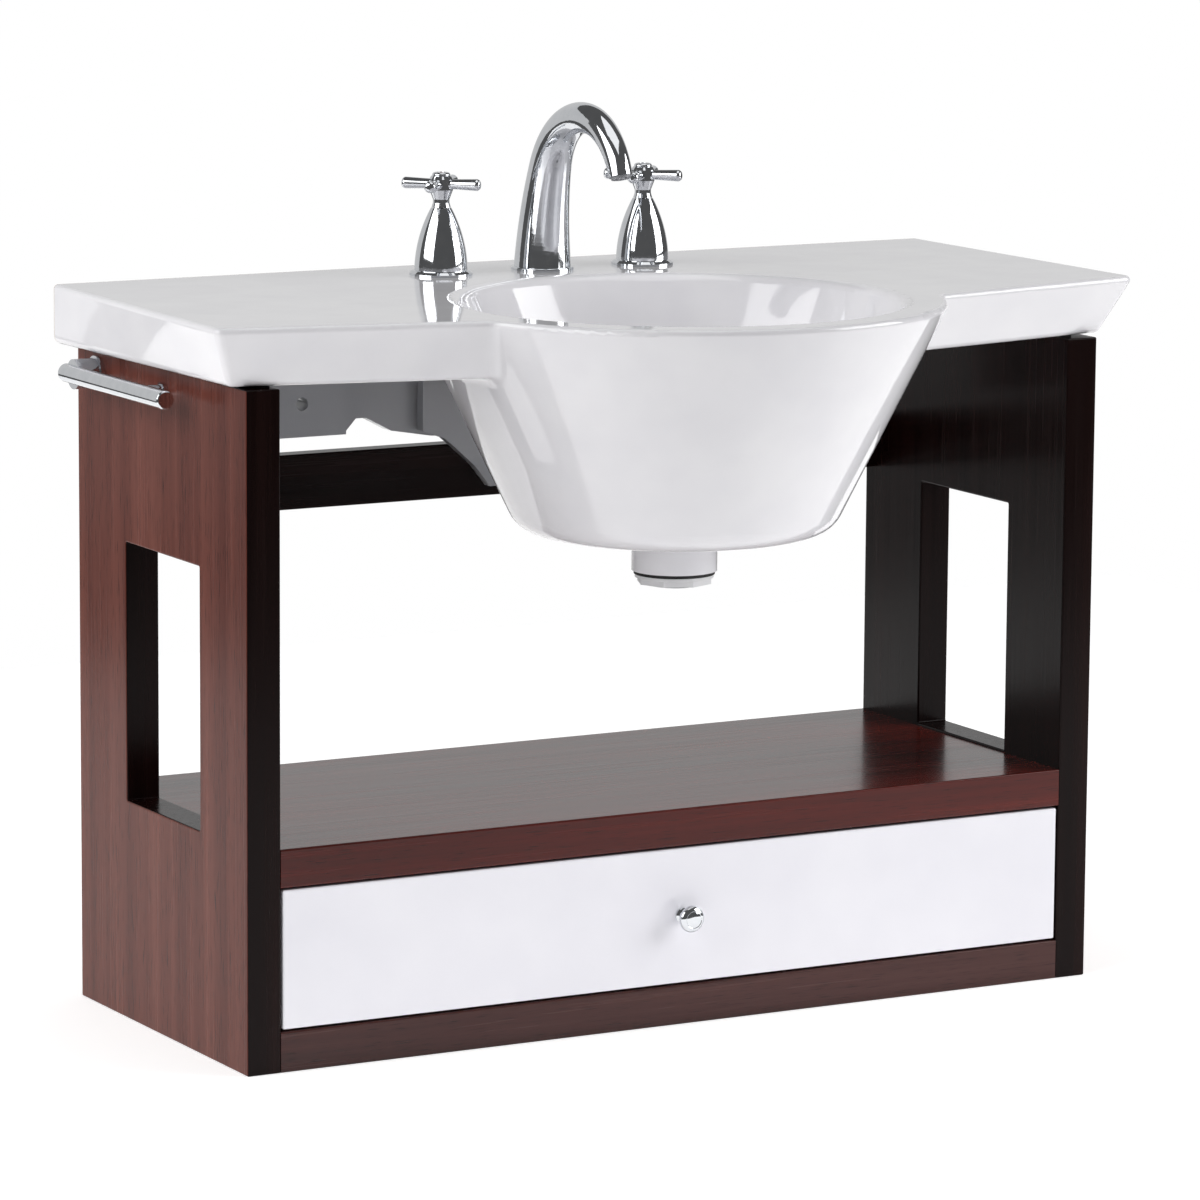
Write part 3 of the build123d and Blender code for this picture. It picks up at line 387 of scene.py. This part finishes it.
slotMaterials = {
    "stained_wood": sideWood, "white_lacquer": whiteLacquer, "drawer_board": birchBoard,
    "beech_dowel": beech, "glazed_ceramic": vitreousChina, "black_rubber": blackRubber,
    "polished_chrome": chrome, "aerator_plastic": aeratorPlastic, "waste_plastic": wastePlastic,
    "plain_brass": brass, "plated_steel": platedSteel, "cartridge_plastic": cartridgePlastic,
}
boardMaterials = {"shelf_panel": shelfWood, "bottom_panel": baseWood, "back_rail": railWood}

for entry in frame["record"]["subparts"]:
    name = entry["node"]
    node = nodes[name]
    node.data.materials.clear()
    node.data.materials.append(boardMaterials.get(name, slotMaterials[entry["material_slot"]]))
print("CAD nodes painted")

# faces that meet at less than this many degrees are shaded as one smooth surface
smoothAngle = 32


def finishPiece(piece, material, body, replaced):
    # settles a modelled piece: where it rides, what it stands for and its finish
    bpy.ops.object.mode_set(mode="OBJECT")
    bpy.ops.object.transform_apply(location=True, rotation=True, scale=True)
    bpy.ops.object.shade_smooth_by_angle(angle=math.radians(smoothAngle))
    piece.data.materials.append(material)
    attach(piece, body)
    for node in replaced:
        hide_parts(node)


def turned(name, stations, base, tilt=0.0, sides=72):
    # a lathe-turned piece: a disc drawn out station by station, (radius, height) in millimetres
    bpy.ops.object.select_all(action="DESELECT")
    radius, height = stations[0]
    place = Vector(base) / 1000
    bpy.ops.mesh.primitive_circle_add(vertices=sides, radius=radius / 1000, fill_type="NGON")
    piece = bpy.context.active_object
    piece.name = name
    bpy.ops.object.mode_set(mode="EDIT")
    bpy.ops.mesh.select_all(action="SELECT")
    bpy.ops.transform.translate(value=(0, 0, height / 1000))
    for nextRadius, nextHeight in stations[1:]:
        step = (0, 0, (nextHeight - height) / 1000)
        bpy.ops.mesh.extrude_region_move(TRANSFORM_OT_translate={"value": step})
        widen = nextRadius / radius
        bpy.ops.transform.resize(value=(widen, widen, 1))
        radius, height = nextRadius, nextHeight
    bpy.ops.mesh.select_all(action="SELECT")
    bpy.ops.mesh.normals_make_consistent(inside=False)
    bpy.ops.object.mode_set(mode="OBJECT")
    piece.rotation_euler = (math.radians(tilt), 0, 0)
    piece.location = place
    return piece


# radius and height along the knob's axis, from the drawer front outwards
drawerKnob = {
    "base": (0, -63.0, 96.5), "tilt": 90,
    "stations": [
        (6.9, 0.02), (6.9, 1.3), (6.3, 2.0), (4.7, 3.1), (4.3, 5.0), (4.3, 7.2), (4.9, 9.4),
        (6.8, 11.2), (9.4, 12.6), (11.1, 14.0), (11.8, 15.6), (11.8, 16.8), (11.2, 18.3), (9.9, 19.6),
        (8.3, 20.5), (7.6, 20.7), (7.2, 20.4), (6.7, 20.6), (4.2, 21.2), (1.8, 21.4),
    ],
}
knob = turned("turned_drawer_knob", drawerKnob["stations"], drawerKnob["base"], drawerKnob["tilt"])
finishPiece(knob, chrome, "drawer", ["drawer_knob"])

# a turned cap with a sunk dot of enamel on top of each handle
indexCap = {
    "spacing": 203.0, "y": 198.0, "z": 719.0, "dotSides": 40,
    "stations": [
        (7.8, 0.02), (7.9, 0.5), (7.9, 1.6), (7.6, 2.3), (6.9, 2.9), (5.8, 3.3), (3.9, 3.42),
        (3.4, 3.3), (3.2, 2.7), (1.0, 2.6),
    ],
    "dot": [(3.15, 2.62), (3.15, 2.95), (2.6, 3.1), (1.0, 3.16)],
}
for side, sideName, enamel in ((-1, "hot", enamelRed), (1, "cold", enamelBlue)):
    capBase = (side * indexCap["spacing"] / 2, indexCap["y"], indexCap["z"])
    cap = turned(sideName + "_turned_cap", indexCap["stations"], capBase)
    finishPiece(cap, chrome, sideName + "_handle", [sideName + "_index_cap"])
    dot = turned(sideName + "_enamel_dot", indexCap["dot"], capBase, sides=indexCap["dotSides"])
    finishPiece(dot, enamel, sideName + "_handle", [])

# stopper: a pressed dome on a guide pin, with a fine ring groove near its edge
stopperShape = {
    "base": (0, -43.0, 0.0), "sides": 96,
    "stations": [
        (3.6, 418.02), (4.0, 418.6), (4.0, 449.0), (9.0, 449.35), (26.3, 449.35), (26.95, 449.9),
        (26.95, 451.3), (26.4, 452.4), (25.2, 453.1), (23.6, 453.35), (23.2, 453.0), (22.6, 452.95),
        (22.2, 453.4), (16.0, 453.68), (8.0, 453.76), (2.0, 453.78),
    ],
}
stopper = turned("pressed_stopper", stopperShape["stations"], stopperShape["base"],
                 sides=stopperShape["sides"])
finishPiece(stopper, chrome, "stopper", ["drain_stopper"])

# overflow: a thin rolled ring let into the wall and a domed cover that stands in its middle
overflowShape = {
    "base": (0, 113.464, 574.0), "tilt": 63.8,
    "ring": [
        (8.6, -11.9), (10.8, -11.9), (10.8, 0.75), (13.8, 0.75), (13.95, 1.3), (13.6, 2.0),
        (12.7, 2.4), (11.6, 2.3), (10.8, 1.7), (10.4, 0.6), (8.6, -0.6),
    ],
    "cover": [
        (2.4, -11.0), (2.4, -1.6), (8.6, -0.4), (9.3, 0.4), (9.0, 1.2), (7.2, 1.8), (4.0, 2.2),
        (1.5, 2.3),
    ],
}
base, tilt = overflowShape["base"], overflowShape["tilt"]
ring = turned("rolled_overflow_ring", overflowShape["ring"], base, tilt)
finishPiece(ring, chrome, "cabinet", ["overflow_ring"])
cover = turned("domed_overflow_cover", overflowShape["cover"], base, tilt)
finishPiece(cover, chrome, "cabinet", [])

# zinc-plated pan-head screws with a pressed cross recess; millimetres, as (radius, height)
# from the tip for the point and from the seat for the head
crossScrews = {
    "point": [(0.7, 0.0), (1.9, 2.2)],
    "head": [(1.95, 0.0), (3.9, 0.05), (3.95, 0.7), (3.5, 1.4), (2.4, 1.85), (0.8, 1.95)],
    "y": -33.0, "tilt": -90, "sides": 28, "top": 1.95,
    "recessLength": 4.4, "recessWidth": 0.8, "recessDepth": 1.1, "recessTurns": (45, 135),
    "frontTip": -22.8, "frontPlaces": [(-250, 72), (-250, 120), (250, 72), (250, 120)],
    "knobTip": -38.8, "knobPlaces": [(0, 96.5)],
}


def crossHeadScrews(name, tip, places, replaced):
    # one screw is turned and its recess cut, and the others are copies of it
    shape = crossScrews
    x, z = places[0]
    stations = [(radius, tip + height) for radius, height in shape["point"]] + shape["head"]
    first = turned(name, stations, (x, shape["y"], z), shape["tilt"], shape["sides"])
    cutSize = Vector((shape["recessLength"], 2 * shape["recessDepth"], shape["recessWidth"])) / 1000
    cutPlace = Vector((x, shape["y"] + shape["top"], z)) / 1000
    for turn in shape["recessTurns"]:
        bpy.ops.object.select_all(action="DESELECT")
        bpy.ops.mesh.primitive_cube_add(size=1, location=cutPlace)
        cutter = bpy.context.active_object
        cutter.scale = cutSize
        cutter.rotation_euler = (0, math.radians(turn), 0)
        first.modifiers.new("recess", "BOOLEAN").object = cutter
        bpy.context.view_layer.objects.active = first
        bpy.ops.object.modifier_apply(modifier="recess")
        bpy.data.objects.remove(cutter)
    bpy.ops.object.select_all(action="DESELECT")
    first.select_set(True)
    for nextX, nextZ in places[1:]:
        copy = first.copy()
        copy.data = first.data.copy()
        copy.location.x, copy.location.z = nextX / 1000, nextZ / 1000
        bpy.context.scene.collection.objects.link(copy)
        copy.select_set(True)
    bpy.context.view_layer.objects.active = first
    if len(places) > 1:
        bpy.ops.object.join()
    finishPiece(first, platedSteel, "drawer", [replaced])


crossHeadScrews("drawer_front_cross_screws", crossScrews["frontTip"], crossScrews["frontPlaces"],
                "drawer_front_screws")
crossHeadScrews("knob_cross_screw", crossScrews["knobTip"], crossScrews["knobPlaces"], "knob_screw")
print("turned pieces modelled")

# a pale floor that glows a little, and air that looks white to the camera; metres, but
# shadeSize is in millimetres
studio = {
    "floorHalf": 1.7, "floorY": 0.1, "floorGlow": 0.5, "floorRoughness": 0.9,
    "floorTones": ("#F2F2F2", "#F6F6F6"), "shadeSize": 300, "white": (1, 1, 1, 1),
    "backdrop": 1.0, "worldLight": 0.1,
}
bpy.ops.mesh.primitive_plane_add(size=2 * studio["floorHalf"], location=(0, studio["floorY"], 0))
floor = bpy.context.active_object
floor.name = "studio_floor"
floorMaterial, tree, shader, coords = newMaterial("paleStudioFloor", {
    "Roughness": studio["floorRoughness"],
    "Emission Color": studio["white"], "Emission Strength": studio["floorGlow"],
})
shade = evenNoise(tree, coords, studio["shadeSize"])
tree.links.new(twoTone(tree, shade, studio["floorTones"]), shader.inputs["Base Color"])
floor.data.materials.append(floorMaterial)

world = bpy.data.worlds.new("studioAir")
bpy.context.scene.world = world
world.use_nodes = True
tree = world.node_tree
tree.nodes.clear()
seen, dim = (addNode(tree, "ShaderNodeBackground", {"Color": studio["white"], "Strength": strength})
             for strength in (studio["backdrop"], studio["worldLight"]))
path = addNode(tree, "ShaderNodeLightPath")
mixShader = addNode(tree, "ShaderNodeMixShader", None, {
    0: path.outputs["Is Camera Ray"], 1: dim.outputs[0], 2: seen.outputs[0],
})
addNode(tree, "ShaderNodeOutputWorld", None, {"Surface": mixShader.outputs[0]})

# soft lamps: place and size in metres, radiance for the brightness of the lamp's face
softLights = {
    "left": {"place": (-3.0, 0.0, 2.0), "size": (3.0, 2.4), "radiance": 3.4},
    "right": {"place": (2.9, -1.7, 1.7), "size": (2.4, 2.2), "radiance": 5.0},
    "above": {"place": (0.2, -0.3, 3.2), "size": (2.4, 2.0), "radiance": 1.1},
    "rear": {"place": (0.4, 3.4, 1.3), "size": (8.0, 3.2), "radiance": 0.55},
}
aim = (cadBox[0] + cadBox[1]) / 2
for name, light in softLights.items():
    data = bpy.data.lights.new(name + "SoftLight", "AREA")
    data.shape = "RECTANGLE"
    data.size, data.size_y = light["size"]
    # the watts that give this radiance all over the face
    data.energy = light["radiance"] * math.pi * data.size * data.size_y
    lamp = bpy.data.objects.new(name + "SoftLight", data)
    lamp.location = light["place"]
    lamp.rotation_euler = (aim - Vector(light["place"])).to_track_quat("-Z", "Y").to_euler()
    bpy.context.scene.collection.objects.link(lamp)

# place in metres, angles in degrees, lens and sensor in millimetres
view = {
    "place": (-2.5904, -4.5830, 1.2450), "tilt": 9.506, "turn": -29.01, "roll": 0.42,
    "lens": 184.7, "sensor": 36, "reach": 100,
}
cameraData = bpy.data.cameras.new("studioCamera")
cameraData.lens = view["lens"]
cameraData.sensor_width = view["sensor"]
cameraData.clip_end = view["reach"]
camera = bpy.data.objects.new("studioCamera", cameraData)
camera.location = view["place"]
heading = Matrix.Rotation(math.radians(view["turn"]), 4, "Z")
pitch = Matrix.Rotation(math.radians(90 - view["tilt"]), 4, "X")
roll = Matrix.Rotation(math.radians(view["roll"]), 4, "Z")
camera.rotation_euler = (heading @ pitch @ roll).to_euler()
bpy.context.scene.collection.objects.link(camera)
bpy.context.scene.camera = camera
bpy.context.scene.view_settings.view_transform = "Standard"
print("studio set")
